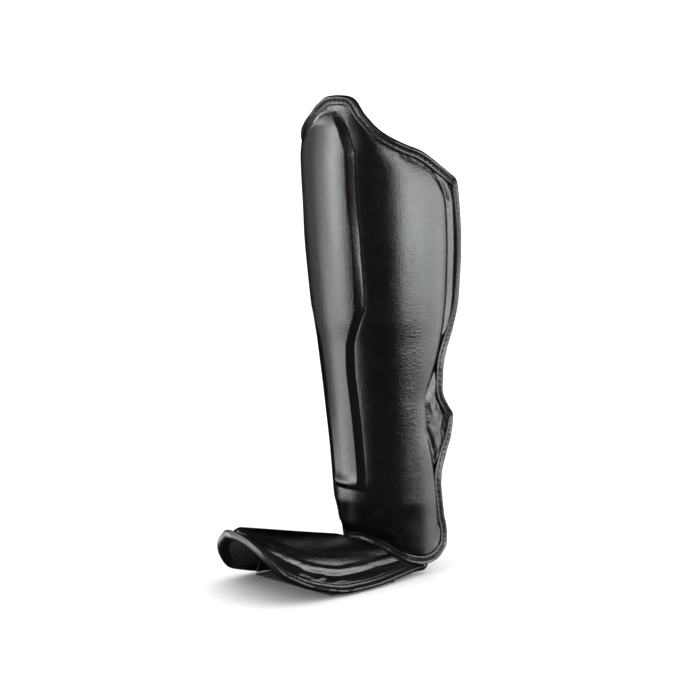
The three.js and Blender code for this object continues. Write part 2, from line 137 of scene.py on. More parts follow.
ELASTIC_HALF_WIDTH = 49
ELASTIC_Y = (-122, -50)
ELASTIC_THICKNESS = 2
SOLE_WEB_THICKNESS = 1.6  # of the sole elastic, without its ribs
ELASTIC_TAB_Y = (-121, -88)
ELASTIC_TAB_TOP_ANGLE = 48
ELASTIC_TAB_DEPTH = 9.3
ELASTIC_TAB_THICKNESS = 1.8
ELASTIC_TAB_LENGTH = 30

# Heights of the strap's edges, then angles: where the anchor tab starts, the strap leaves the wing,
# the elastic meets the flap, the flap ends, the pull tab ends, and how far round the tape reaches.
STRAPS = {
    "upper": dict(low=272, high=340, tab_end=100, start=126, seam=172, end=292, pull_tab=298, tape=40),
    "lower": dict(low=96, high=142, tab_end=98, start=122, seam=170, end=287, pull_tab=293, tape=22),
}
STRAP_THICKNESS = 2
STRAP_WEB_THICKNESS = 1.8  # of a strap's elastic, without its ribs
STRAP_INNER_HEIGHT = -9.6  # level inside the inner wing, from the shin's nominal surface
STRAP_CLOSED_HEIGHT = 3.2  # level on the outer wing
STRAP_RISE = (165, 226)  # angles between which it goes from one level to the other
STRAP_SAG = 3  # how far the elastic lies in from the wing's circle
STRAP_RADIUS = 60  # used only to turn a strap's angles into lengths
STRAP_BEND = 12  # length before a strap's hinge over which it bends
STRAP_STITCH_MARGIN = 4
ANCHOR_STITCH_MARGIN = 3.5
TOUCH_TAPE_MARGIN = 4  # from the tape to the strap's edges, and degrees to its end
TOUCH_TAPE_THICKNESS = 1
HOOK_LEVEL = -1.3  # the hook tape's back, inside the flap
PULL_TAB_MARGIN = 14
PULL_TAB_LEVEL = 0.3
PULL_TAB_THICKNESS = 1.4
SEAM_ANGLE = 0.1  # clearance where two strap pieces meet
RIB_PITCH = 2.4  # of the elastics

elastic_low, elastic_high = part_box("foot_elastic")
SHIFT = np.array([
    (elastic_low.x + elastic_high.x) * 500,
    elastic_high.y * 1000 - ELASTIC_Y[1],
    elastic_low.z * 1000,
])


def to_frame(points):
    """Millimetres about the ankle to metres in the frame."""
    return (np.asarray(points, float) + SHIFT) / 1000


# ---- helpers for curves and surfaces ----

RIPPLE_WAVES = 16


def through(knots, x):
    """Values at x of the smooth curve through (x, y) knots, level wherever the knots turn."""
    knot_x, knot_y = np.array(knots, float).T
    at = np.clip(x, knot_x[0], knot_x[-1])
    i = np.clip(np.searchsorted(knot_x, at) - 1, 0, len(knot_x) - 2)
    spans, rises = np.diff(knot_x), np.diff(knot_y)
    slopes = rises / spans
    before, after = slopes[:-1], slopes[1:]
    same_way = before * after > 0
    total = np.where(same_way, before + after, 1)
    middle = np.where(same_way, 2 * before * after / total, 0)
    tangents = np.concatenate([slopes[:1], middle, slopes[-1:]])
    k = (at - knot_x[i]) / spans[i]
    bend0 = (tangents[i] * spans[i] - rises[i]) * (1 - k)
    bend1 = (rises[i] - tangents[i + 1] * spans[i]) * k
    return knot_y[i] + rises[i] * k + k * (1 - k) * (bend0 + bend1)


def slope(knots, x):
    return through(knots, np.asarray(x) + 0.5) - through(knots, np.asarray(x) - 0.5)


def smoothstep(x, low, high):
    k = np.clip((x - low) / (high - low), 0, 1)
    return k * k * (3 - 2 * k)


def lerp(a, b, k):
    return a + (b - a) * k


def ramp(x, rounding):
    """0 to 1 in a straight slope with rounded ends."""
    k = np.clip(x, 0, 1)
    start = k**2 / (2 * rounding)
    finish = 1 - rounding - (1 - k) ** 2 / (2 * rounding)
    straight = np.where(k < 1 - rounding, k - rounding / 2, finish)
    return np.where(k < rounding, start, straight) / (1 - rounding)


def swell(x, centre, width):
    """1 at the centre, falling away on both sides."""
    return np.exp(-(((x - centre) / width) ** 2))


def shoulder(x, run):
    """0 before x = 0, then a steep rise that rounds off to 1 at x = run."""
    return 1 - (1 - np.clip(x / run, 0, 1)) ** 2.2


def soft_min(values, softness):
    return -softness * np.log(sum(np.exp(-v / softness) for v in values))


def ripples(x, y, wavelength, seed, stretch=(1, 1)):
    """Smooth random waves over a surface, mostly between -1 and 1, with crests drawn out by stretch."""
    rng = np.random.default_rng(seed)
    total = np.zeros(np.broadcast(x, y).shape)
    for _ in range(RIPPLE_WAVES):
        heading, phase = rng.uniform(0, 2 * np.pi, 2)
        length = wavelength * rng.uniform(0.7, 1.5)
        along = x * np.cos(heading) / stretch[0] + y * np.sin(heading) / stretch[1]
        total += np.sin(2 * np.pi * along / length + phase)
    return total / np.sqrt(2 * RIPPLE_WAVES)


def steps_between(*stops):
    """Numbers running through (value, count of steps to the next value) stops."""
    runs = [
        np.linspace(value, following, count, endpoint=False)
        for (value, count), (following, _) in zip(stops, stops[1:])
    ]
    return np.concatenate([*runs, [stops[-1][0]]])


def mirrored(half):
    return np.concatenate([-half[:0:-1], half])


def fullness(angle, z):
    """How far the padded body swells beyond its radius."""
    filled = through(FULLER_ROUND, z) + through(FULLER_FRONT, z) * np.cos(np.radians(angle))
    return filled - FRONT_TUCK * smoothstep(z, 43, 28) * smoothstep(np.abs(angle), 56, 36)


def on_shin(angle, z, out):
    """Points at angles round the shin, heights, and distances out from the nominal surface."""
    r = through(SHIN_RADIUS, z) + out + fullness(angle, z)
    a = np.radians(angle)
    return np.stack([r * np.sin(a), through(SHIN_CENTRE_Y, z) - r * np.cos(a), z + 0 * r], -1)


def shin_flat(angle, z):
    """Where a place on the shin lies when the surface is unrolled."""
    return np.radians(angle) * through(SHIN_RADIUS, z), z + 0 * angle


def shin_at(x, y, out):
    """Points above a place given on the unrolled shin."""
    return on_shin(np.degrees(x / through(SHIN_RADIUS, y)), y, out)


def on_foot(angle, y, out):
    """Points across the foot guard's arch, which is flatter along its crown."""
    a = np.radians(angle)
    r = FOOT_RADIUS + out - through(FOOT_CROWN_DIP, y) * swell(angle, 0, CROWN_HALF_ANGLE)
    centre_z = through(FOOT_CROWN, y) - FOOT_RADIUS
    return np.stack([r * np.sin(a), y + 0 * r, centre_z + r * np.cos(a)], -1)


def foot_flat(angle, y):
    return np.radians(angle) * FOOT_RADIUS, y + 0 * angle


def foot_at(x, y, out):
    return on_foot(np.degrees(x / FOOT_RADIUS), y, out)


# ---- mesh building ----

SHARP_ANGLE = math.radians(40)  # edges turned by more than this are shaded sharp
CLOTH_FRAMES = 20
CLOTH_SETTINGS = {
    "quality": 5,
    "mass": 0.3,
    "bending_stiffness": 0.3,
    "vertex_group_mass": "held",
    "use_pressure": True,
    "uniform_pressure_force": 4,
}


def lattice(rows, columns, wrap_rows=False, wrap_columns=False):
    """Quads over a grid of points."""
    row = np.arange(rows if wrap_rows else rows - 1)
    column = np.arange(columns if wrap_columns else columns - 1)
    r0, c0 = np.meshgrid(row, column, indexing="ij")
    r1, c1 = (r0 + 1) % rows, (c0 + 1) % columns
    corners = [r0 * columns + c0, r1 * columns + c0, r1 * columns + c1, r0 * columns + c1]
    return np.stack(corners, -1).reshape(-1, 4)


def slab(outer, inner, flat):
    """The closed solid between two grids of points, and each point's place when unrolled."""
    rows, columns = outer.shape[:2]
    count = rows * columns
    face = lattice(rows, columns)
    index = np.arange(count).reshape(rows, columns)
    rim = np.concatenate([index[:-1, 0], index[-1, :-1], index[:0:-1, -1], index[0, :0:-1]])
    following = np.roll(rim, -1)
    sides = np.stack([following, rim, rim + count, following + count], -1)
    points = np.concatenate([outer.reshape(-1, 3), inner.reshape(-1, 3)])
    quads = np.concatenate([face, face[:, ::-1] + count, sides])
    unrolled = np.stack(flat, -1).reshape(-1, 2)
    return points, [quads], np.concatenate([unrolled, unrolled])


def layer(on, a, b, top, bottom, flat):
    """The solid between two levels above a surface, over a grid of its places."""
    return slab(on(a, b, top), on(a, b, bottom), flat)


def tube(stations, along, closed):
    """A section, given at each station, swept into a ring or a bar with closed ends."""
    count, around = stations.shape[:2]
    faces = [lattice(count, around, wrap_rows=closed, wrap_columns=True)]
    if not closed:
        first = np.arange(around)
        faces.append(np.stack([first[::-1], first + (count - 1) * around]))
    girth = np.linalg.norm(np.diff(stations[0], axis=0, append=stations[0][:1]), axis=1)
    across = np.concatenate([[0], np.cumsum(girth)[:-1]])
    flat = np.stack(np.broadcast_arrays(along[:, None], across[None, :]), -1)
    return stations.reshape(-1, 3), faces, flat.reshape(-1, 2)


def joined(shapes):
    """One (points, faces, unrolled places) from several with the same kinds of faces."""
    points, faces, flats = zip(*shapes)
    offsets = np.cumsum([0] + [len(part) for part in points])
    groups = [
        np.concatenate([group + offset for group, offset in zip(kind, offsets)])
        for kind in zip(*faces)
    ]
    return np.concatenate(points), groups, np.concatenate(flats)


def facing_out(points, faces):
    """The same faces, turned over if they face inwards."""
    volume = 0
    for group in faces:
        corner = points[group]
        for k in range(1, group.shape[1] - 1):
            volume += np.sum(corner[:, 0] * np.cross(corner[:, k], corner[:, k + 1]))
    return faces if volume > 0 else [group[:, ::-1] for group in faces]


def add_piece(name, shape, material, body, stands_for=()):
    """A piece from (points, faces, unrolled places), on a body, or fixed in the frame when given a pair
    of bodies.
    """
    points, faces, flat = shape
    faces = facing_out(points, faces)
    corners = np.concatenate([group.ravel() for group in faces])
    mesh = bpy.data.meshes.new(name)
    mesh.from_pydata(to_frame(points).tolist(), [], [face for group in faces for face in group.tolist()])
    mesh.shade_smooth()
    unrolled = mesh.uv_layers.new(name="unrolled")
    unrolled.data.foreach_set("uv", (flat[corners] / 1000).astype(np.float32).ravel())
    mesh.set_sharp_from_angle(angle=SHARP_ANGLE)
    mesh.materials.append(material)
    piece = linked(name, mesh)
    if isinstance(body, str):
        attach(piece, body)
    else:
        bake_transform(piece)
    if stands_for:
        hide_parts(*stands_for)
    return piece


def puffed(points, held, cap):
    """A grid of cloth blown up by the padding behind it, by cap at most, and pinned where held is 1."""
    rows, columns = points.shape[:2]
    mesh = bpy.data.meshes.new("puffed_cloth")
    mesh.from_pydata(to_frame(points).reshape(-1, 3).tolist(), [], lattice(rows, columns).tolist())
    sheet = linked("puffed_cloth", mesh)
    scene = bpy.context.scene
    pins = sheet.vertex_groups.new(name="held")
    for index, weight in enumerate(held.ravel()):
        pins.add([index], float(weight), "REPLACE")
    cloth = sheet.modifiers.new("cloth", "CLOTH")
    for setting, value in CLOTH_SETTINGS.items():
        setattr(cloth.settings, setting, value)
    cloth.settings.effector_weights.gravity = 0
    cloth.collision_settings.use_collision = False
    cloth.point_cache.frame_start = 1
    cloth.point_cache.frame_end = CLOTH_FRAMES
    for moment in range(1, CLOTH_FRAMES + 1):
        scene.frame_set(moment)
    settled = sheet.evaluated_get(bpy.context.evaluated_depsgraph_get())
    moved = np.empty(rows * columns * 3, np.float32)
    settled.data.vertices.foreach_get("co", moved)
    scene.frame_set(1)
    bpy.data.objects.remove(sheet)
    step = moved.reshape(points.shape) * 1000 - SHIFT - points
    length = np.linalg.norm(step, axis=-1, keepdims=True)
    return points + step * (cap / np.maximum(length, cap))


# ---- materials ----


class Shader:
    """A material under construction: a Principled BSDF and short ways to add nodes to it."""

    def __init__(self, name, color, roughness, sheen=0.0, specular=0.5):
        self.material = bpy.data.materials.new(name)
        self.material.use_nodes = True
        self.tree = self.material.node_tree
        self.surface = self.tree.nodes["Principled BSDF"]
        self.surface.inputs["Base Color"].default_value = (*color, 1)
        self.surface.inputs["Roughness"].default_value = roughness
        self.surface.inputs["Specular IOR Level"].default_value = specular
        self.surface.inputs["Sheen Weight"].default_value = sheen
        self.place = self.add("ShaderNodeUVMap", uv_map="unrolled").outputs["UV"]

    def add(self, kind, inputs=(), **settings):
        node = self.tree.nodes.new(kind)
        for key, value in settings.items():
            setattr(node, key, value)
        for key, value in dict(inputs).items():
            if isinstance(value, bpy.types.NodeSocket):
                self.tree.links.new(value, node.inputs[key])
            else:
                node.inputs[key].default_value = value
        return node

    def scaled(self, x, y):
        node = self.add("ShaderNodeMapping", {"Vector": self.place, "Scale": (x, y, 1)})
        return node.outputs["Vector"]

    def noise(self, scale, detail=3.0, vector=None):
        inputs = {"Vector": vector or self.place, "Scale": scale, "Detail": detail}
        return self.add("ShaderNodeTexNoise", inputs).outputs["Fac"]

    def cells(self, scale, feature="F1"):
        inputs = {"Vector": self.place, "Scale": scale}
        return self.add("ShaderNodeTexVoronoi", inputs, feature=feature).outputs["Distance"]

    def bands(self, scale, direction, distortion=0.0):
        inputs = {"Vector": self.place, "Scale": scale, "Distortion": distortion}
        node = self.add("ShaderNodeTexWave", inputs, bands_direction=direction)
        return node.outputs["Fac"]

    def math(self, operation, a, b):
        return self.add("ShaderNodeMath", {0: a, 1: b}, operation=operation).outputs["Value"]

    def ranged(self, value, low, high, from_low=0.0, from_high=1.0):
        limits = {"From Min": from_low, "From Max": from_high, "To Min": low, "To Max": high}
        return self.add("ShaderNodeMapRange", {"Value": value, **limits}).outputs["Result"]

    def color(self, value, low, high):
        node = self.add("ShaderNodeMix", {"Factor": value}, data_type="RGBA")
        node.inputs[6].default_value = (*low, 1)
        node.inputs[7].default_value = (*high, 1)
        self.tree.links.new(node.outputs[2], self.surface.inputs["Base Color"])

    def roughness(self, value):
        self.tree.links.new(value, self.surface.inputs["Roughness"])

    def bump(self, layers):
        """Height layers, each (value, distance in metres), stacked into one normal."""
        normal = None
        for value, distance in layers:
            inputs = {"Height": value, "Distance": distance, "Strength": 1.0}
            if normal is not None:
                inputs["Normal"] = normal
            normal = self.add("ShaderNodeBump", inputs).outputs["Normal"]
        self.tree.links.new(normal, self.surface.inputs["Normal"])


def leather(name, dark, light, roughness, grain, grain_depth):
    """Satin leather: pebble grain, fine pores, soft creases and an uneven polish."""
    shader = Shader(name, dark, roughness[0])
    wear = shader.noise(38, 5)
    shader.color(shader.ranged(wear, 0, 1, 0.35, 0.75), dark, light)
    polish = shader.noise(140, 4)
    shader.roughness(shader.ranged(polish, *roughness, 0.3, 0.7))
    pebbles = shader.cells(grain, "SMOOTH_F1")
    pores = shader.noise(grain * 2.2, 4)
    creases = shader.noise(420, 2, shader.scaled(0.22, 1))
    patches = shader.ranged(shader.noise(22, 2), 0, 1, 0.45, 0.65)
    mottle = shader.noise(620, 2)
    shader.bump([
        (shader.math("MULTIPLY", creases, patches), grain_depth * 1.1),
        (mottle, grain_depth * 1.5),
        (pebbles, grain_depth),
        (pores, grain_depth * 0.6),
    ])
    return shader.material


def woven(name, dark, light, pitch, depth, sheen):
    """Plain-woven cloth: threads over and under each other at a pitch in metres."""
    shader = Shader(name, dark, 0.85, sheen=sheen, specular=0.3)
    scale = 1 / (pitch * 20)
    warp = shader.bands(scale, "X")
    weft = shader.bands(scale, "Y")
    threads = shader.math("MULTIPLY", warp, weft)
    fuzz = shader.noise(2400, 3)
    shader.color(shader.math("MULTIPLY", threads, fuzz), dark, light)
    shader.roughness(shader.ranged(fuzz, 0.75, 0.95))
    shader.bump([(threads, depth), (fuzz, depth * 0.5)])
    return shader.material


def ribbed(name, dark, light, pitch, depth):
    """Knitted elastic: ribs with short cross threads."""
    shader = Shader(name, dark, 0.8, sheen=0.15, specular=0.3)
    ribs = shader.bands(1 / (pitch * 20), "Y")
    knit = shader.bands(1 / (pitch * 11), "X", 1.5)
    fuzz = shader.noise(3000, 3)
    shader.color(shader.math("MULTIPLY", ribs, knit), dark, light)
    shader.roughness(shader.ranged(fuzz, 0.7, 0.95))
    shader.bump([(ribs, depth), (knit, depth * 0.5), (fuzz, depth * 0.4)])
    return shader.material


def foamed(name, dark, light):
    """Cut foam: open cells and a chalky surface."""
    shader = Shader(name, dark, 0.95, specular=0.2)
    cells = shader.cells(900)
    shader.color(shader.ranged(cells, 0, 1, 0, 0.6), dark, light)
    shader.bump([(cells, 0.0004)])
    return shader.material


def fuzzy(name, dark, light):
    """Hook or loop tape: a dense pile of short stiff threads."""
    shader = Shader(name, dark, 0.95, sheen=0.4, specular=0.2)
    pile = shader.cells(1500)
    tangle = shader.noise(2600, 5)
    shader.color(tangle, dark, light)
    shader.bump([(pile, 0.0005), (tangle, 0.0004)])
    return shader.material


def thread(name, dark, light):
    """Twisted polyester thread."""
    shader = Shader(name, dark, 0.7, specular=0.25)
    twist = shader.bands(160, "DIAGONAL")
    shader.color(twist, dark, light)
    shader.bump([(twist, 0.00012)])
    return shader.material


SKIN = leather(
    "skin_leather", (0.0035, 0.0035, 0.0038), (0.006, 0.006, 0.0063),
    roughness=(0.17, 0.24), grain=1000, grain_depth=0.0001,
)
TAPE = leather(
    "tape_leather", (0.004, 0.004, 0.0043), (0.007, 0.007, 0.0073),
    roughness=(0.28, 0.38), grain=1100, grain_depth=0.00008,
)
LINING = woven(
    "lining_cloth", (0.006, 0.006, 0.0065), (0.016, 0.016, 0.017),
    pitch=0.0009, depth=0.0002, sheen=0.1,
)
FIRM_FOAM = foamed("firm_foam", (0.03, 0.03, 0.032), (0.06, 0.06, 0.062))
SOFT_FOAM = foamed("soft_foam", (0.2, 0.2, 0.205), (0.34, 0.34, 0.345))
ELASTIC = ribbed(
    "ribbed_elastic", (0.006, 0.006, 0.0065), (0.02, 0.02, 0.021), pitch=0.0016, depth=0.00025,
)
TOUCH = fuzzy("touch_tape", (0.005, 0.005, 0.0055), (0.02, 0.02, 0.021))
THREAD = thread("thread", (0.003, 0.003, 0.0033), (0.009, 0.009, 0.01))

# ---- shin surface ----

EDGE_ROUNDING = 2.5  # softness of an outline's corners
TAPE_WIDTH = 7.6
FLANGE_LEVEL = -1.2
FLANGE_ROLL = 0.9
GROOVE_DEPTH = 2.3  # the sunk line along the firm edge of the panel
TUCK = 0.9  # the leather dips by this much to pass under the tape


def spread(knots, u):
    """Angle at column u of a grid whose columns follow curves, given as (column, angle) knots."""
    reach = np.abs(u)
    angle = 0 * u
    for (start, low), (end, high) in zip(knots, knots[1:]):
        part = lerp(low, high, (reach - start) / (end - start))
        angle = np.where(reach > start, part, angle)
    return np.sign(u) * angle


def shin_angle(u, z, inset):
    half = through(SHIN_SIDE, z) - np.degrees(inset / through(SHIN_RADIUS, z))
    plateau = through(RIDGE_HALF_ANGLE, z)
    panel = np.minimum(through(PANEL_SIDE, z), half - PANEL_EDGE_ANGLE)
    wall = plateau + through(RIDGE_SIDE_ANGLE, z)
    knots = [(0, 0), (0.2, plateau), (0.27, wall), (0.72, panel - PANEL_EDGE_ANGLE), (1, half)]
    angle = spread(knots, u) + through(RIDGE_CENTRE_ANGLE, z) * smoothstep(np.abs(u), 0.6, 0.27)
    return angle, angle / half


def shin_top(angle):
    reach = np.abs(angle)
    return np.where(angle > 0, through(SHIN_TOP_INNER, reach), through(SHIN_TOP_OUTER, reach))


def shin_place(u, t, inset):
    """Angles and heights of grid places: u runs edge to edge, t bottom to top."""
    u, t = np.broadcast_arrays(np.asarray(u, float), np.asarray(t, float))

    def height(part):
        low = through(SHIN_BOTTOM, np.abs(part) * SHIN_BOTTOM[-1][0]) + inset
        high = shin_top(part * SHIN_TOP_REACH) - inset
        return lerp(low, high, t)

    z = height(shin_angle(u, height(u), inset)[1])
    return shin_angle(u, z, inset)[0], z


def inside_of(angle, z, side, top, bottom):
    """Distance along the surface in from the nearest edge of an outline, negative outside it."""
    reach = np.abs(angle)
    mm = np.radians(through(SHIN_RADIUS, z))
    to_side = (through(side, z) - reach) * mm / np.hypot(1, slope(side, z) * mm)
    rise = top(angle + 0.5) - top(angle - 0.5)
    to_top = (top(angle) - z) / np.hypot(1, rise / mm)
    to_bottom = (z - through(bottom, reach)) / np.hypot(1, slope(bottom, reach) / mm)
    return soft_min([to_side, to_top, to_bottom], EDGE_ROUNDING)


def from_edge(angle, z):
    return inside_of(angle, z, SHIN_SIDE, shin_top, SHIN_BOTTOM)


def from_panel(angle, z):
    """Distance in from the edge of the thick padded panel."""
    return inside_of(angle, z, PANEL_SIDE, lambda a: through(PANEL_TOP, np.abs(a)), PANEL_BOTTOM)


def ridge(angle, z):
    """Height of the front ridge: a level top, rounded rims and steep walls."""
    mm = np.radians(through(SHIN_RADIUS, z))
    beyond = (np.abs(angle - through(RIDGE_CENTRE_ANGLE, z)) - through(RIDGE_HALF_ANGLE, z)) * mm
    run = through(RIDGE_SIDE_ANGLE, z) * mm
    wall = 1 - ramp(beyond / run, 0.15)
    seam = lerp(0.1, 0.3, smoothstep(z, 196, 220) * smoothstep(z, 305, 270))
    groove = seam * swell(beyond, run - 0.3, 1.2) * smoothstep(z, 84, 96) * smoothstep(z, 392, 384)
    apron = APRON_HEIGHT * swell(angle, 0, 22) * smoothstep(z, 34, 74) * smoothstep(z, 90, 78)
    return wall * np.maximum(0, through(RIDGE_HEIGHT, z)) - groove + apron


def shin_wrinkles(angle, z, in_flange):
    """Creases in the unpadded leather: strong at the ankle notch, slight elsewhere."""
    x, y = shin_flat(angle, z)
    reach = np.abs(angle)
    notch = smoothstep(reach, 66, 78) * smoothstep(z, 70, 95) * smoothstep(z, 165, 140)
    hip = smoothstep(reach, 36, 52) * smoothstep(z, 325, 350)
    folds = -np.abs(ripples(x, y, 8, 3, (1, 2.6))) * 1.3 + 0.8 * ripples(x, y, 4, 4, (1, 1.6))
    slight = ripples(x, y, 6, 5)
    return in_flange * ((0.34 * notch + 0.3 * hip) * folds + 0.1 * slight)


def shin_relief(angle, z):
    """Height of the outer leather above the nominal surface."""
    edge = from_edge(angle, z) - TAPE_WIDTH
    panel = from_panel(angle, z)
    width = np.maximum(edge - panel, 1)
    across = np.clip(edge / width, 0, 1)
    roll = FLANGE_ROLL * np.sin(np.pi * across) * np.clip(width / 12, 0.2, 1)
    firm = smoothstep(np.abs(angle), 68, 88) * smoothstep(z, 50, 100)
    padded = shoulder(panel + 2.5, lerp(16, 8, firm))
    groove = lerp(0.5, GROOVE_DEPTH, firm * smoothstep(z, 350, 320)) * swell(panel, -2.5, 3.2)
    tucked = TUCK * smoothstep(edge, 1, -1)
    flange = FLANGE_LEVEL + roll - groove - tucked
    in_flange = smoothstep(edge, 0, 2) * smoothstep(panel, 2, -3)
    return flange * (1 - padded) + ridge(angle, z) + shin_wrinkles(angle, z, in_flange)


# ---- foot surface ----

FOOT_FLANGE_LEVEL = -1.3
BAND_HEIGHT = 2.4
PAD_HEIGHT = 2.6
# How far in from the edge the raised band and the pad on it start, by angle, and the line across
# the foot where the shin's lower edge lies on it.
BAND_START = [(0, 5), (13, 6.5), (24, 10), (35, 12.5), (42, 17), (48, 19)]
PAD_START = [(0, 8), (13, 10), (17, 14), (22, 20), (32, 23), (39, 27)]
SHIN_LINE = [(0, -50), (16, -47), (34, -36), (46, -23), (51, -14), (54, -2)]


def foot_front(reach, inner):
    return np.where(inner, through(FOOT_FRONT_INNER, reach), through(FOOT_FRONT_OUTER, reach))


def foot_place(u, v, inset):
    """Angles and places along the foot: u runs side to side, v from the toes to the ankle."""
    u, v = np.broadcast_arrays(np.asarray(u, float), np.asarray(v, float))
    reach = np.abs(u)
    front = foot_front(reach * FOOT_FRONT_REACH, u > 0) + inset
    rear = through(FOOT_REAR, reach * FOOT_REAR_REACH)
    y = lerp(front, rear, v)
    half = through(FOOT_SIDE, y) - np.degrees(inset / FOOT_RADIUS)
    return u * half, y


def foot_inside(angle, y, rounding):
    """Distance in from the foot guard's front and side edges, with its corners rounded off."""
    reach = np.abs(angle)
    mm = np.radians(FOOT_RADIUS)
    to_side = (through(FOOT_SIDE, y) - reach) * mm / np.hypot(1, slope(FOOT_SIDE, y) * mm)
    front = foot_front(reach, angle > 0)
    lean = foot_front(reach + 0.5, angle > 0) - foot_front(reach - 0.5, angle > 0)
    to_front = (y - front) / np.hypot(1, lean / mm)
    return soft_min([to_side, to_front], rounding)


def foot_sink(angle, y):
    """How far the foot guard has sunk under the shin's lower edge, until it turns up inside."""
    behind = y - through(SHIN_LINE, np.abs(angle))
    turned_up = GUSSET_RISE * smoothstep(behind, 11, 19) * smoothstep(np.abs(angle), 52, 46)
    return smoothstep(behind, -6, 1) + GUSSET_DIP * np.maximum(0, behind) - turned_up


def foot_relief(angle, y):
    """Height of the foot guard's outer leather above its nominal surface."""
    reach = np.abs(angle)
    edge = foot_inside(angle, y, EDGE_ROUNDING)
    x, _ = foot_flat(angle, y)
    from_band = foot_inside(angle, y, 7) + 2 - through(BAND_START, reach)
    from_pad = foot_inside(angle, y, 7) + 2 - through(PAD_START, reach)
    band = BAND_HEIGHT * smoothstep(from_band, -1, 6) - 0.6 * swell(from_band, -1.5, 2)
    pad = PAD_HEIGHT * smoothstep(from_pad, -1, 8) - 0.7 * swell(from_pad, -1.5, 2)
    in_flange = smoothstep(edge, TAPE_WIDTH, TAPE_WIDTH + 2) * smoothstep(from_band, 2, -2)
    x = x + 3 * ripples(x, y, 30, 6)
    folds = -np.abs(ripples(x, y, 20, 7, (1, 4))) * 1.6 + 0.25 * ripples(x, y, 7, 8, (1, 3))
    crumple = swell(y, -148, 26) * smoothstep(reach, 44, 56)
    wrinkles = in_flange * folds * (0.25 + 0.35 * crumple)
    line = through(SHIN_LINE, reach)
    held = smoothstep(y, line - 2, line - 14)
    tucked = TUCK * smoothstep(edge - TAPE_WIDTH, 1, -1)
    return FOOT_FLANGE_LEVEL - tucked + held * (band + pad + wrinkles) - foot_sink(angle, y)


# ---- sewn edge tapes and stitches ----

# The tape's section, as (distance in from the edge, distance out from the nominal surface):
# a roll over the edge, a stitched margin on each side, and back through the inside of the fold.
TAPE_SECTION = [
    (7.7, -1.5), (7.8, -0.95), (7.3, -0.6), (6.4, -0.5), (5.6, -0.7), (5.0, -0.85), (4.4, -0.55),
    (3.6, 0.2), (2.6, 0.75), (1.6, 0.75), (0.7, 0.1), (0.15, -1.1), (0.0, -2.8), (0.05, -4.6),
    (0.4, -6.1), (1.2, -7.0), (2.3, -7.4), (3.7, -7.4), (5.0, -7.2), (6.2, -7.35), (7.4, -7.2),
    (7.8, -6.9), (7.4, -6.6), (5.0, -6.6), (3.0, -6.5), (1.6, -5.7), (0.9, -4.3), (0.9, -2.4),
    (1.6, -0.8), (2.8, -0.4), (4.0, -1.0), (5.0, -1.65), (6.4, -1.4),
]
TAPE_STITCH = 5.0  # the stitch line's distance in from the edge
TAPE_LEVEL_OUT = -0.85
TAPE_LEVEL_IN = -7.2
TAPE_MIDDLE = -3.5
STITCH_PITCH = 4.8
STITCH_LENGTH = 3.3
STITCH_HALF_WIDTH = 0.55
STITCH_HALF_HEIGHT = 0.34
PUCKER = 0.1  # unevenness of the tape
STITCH_PULL = 0.3  # how far each stitch pulls the tape in


def smoothed(values, spacing, width, closed):
    """Values along a path, averaged over a width in the path's own units."""
    reach = int(3 * width / spacing)
    weights = np.exp(-0.5 * (np.arange(-reach, reach + 1) * spacing / width) ** 2)
    weights /= weights.sum()
    style = {"mode": "wrap"} if closed else {"mode": "reflect", "reflect_type": "odd"}
    padded = np.pad(values, ((reach, reach), (0, 0)), **style)
    return np.stack([np.convolve(column, weights, "valid") for column in padded.T], -1)


class Path:
    """An evenly spaced line on an unrolled surface, with the direction that points inside it."""

    def __init__(self, points, spacing, closed, rounding):
        points = np.asarray(points, float)
        if closed:
            points = np.concatenate([points, points[:1]])
        lengths = np.concatenate([[0], np.cumsum(np.linalg.norm(np.diff(points, axis=0), axis=1))])
        count = int(round(lengths[-1] / spacing))
        self.closed = closed
        self.along = np.linspace(0, lengths[-1], count + 1)
        if closed:
            self.along = self.along[:-1]
        self.total = lengths[-1]
        step = self.total / count
        even = np.stack([np.interp(self.along, lengths, column) for column in points.T], -1)
        self.points = smoothed(even, step, rounding, closed) if rounding else even
        ahead = np.roll(self.points, -1, 0) - np.roll(self.points, 1, 0)
        if not closed:
            ahead[0] = self.points[1] - self.points[0]
            ahead[-1] = self.points[-1] - self.points[-2]
        inward = np.stack([-ahead[:, 1], ahead[:, 0]], -1)
        inward /= np.linalg.norm(inward, axis=1, keepdims=True)
        if rounding:
            inward = smoothed(inward, step, 2 * rounding, closed)
            inward /= np.linalg.norm(inward, axis=1, keepdims=True)
        self.inward = inward

    def place(self, along, inset):
        """Unrolled places at distances along the path and in from it."""
        if self.closed:
            nodes = np.append(self.along, self.total)
            points, inward = (np.concatenate([v, v[:1]]) for v in (self.points, self.inward))
        else:
            nodes, points, inward = self.along, self.points, self.inward
        x, y, nx, ny = (np.interp(along, nodes, v) for v in (*points.T, *inward.T))
        return x + nx * inset, y + ny * inset


def edge_tape(path, surface, seed):
    """A folded tape along a path, with small puckers that the stitches pull into it."""
    inset, out = np.array(TAPE_SECTION).T
    along = path.along[:, None]
    x, y = path.place(along + 0 * inset, inset[None, :] + 0 * along)
    pucker = PUCKER * ripples(along, 6 * inset[None, :], 11, seed) * swell(inset, 3, 4)
    pulled = STITCH_PULL * np.cos(2 * np.pi * along / STITCH_PITCH) * swell(inset, TAPE_STITCH, 1.5)
    stations = surface(x, y, out[None, :] + pucker - pulled * np.sign(out[None, :] - TAPE_MIDDLE))
    return tube(stations, path.along, path.closed)


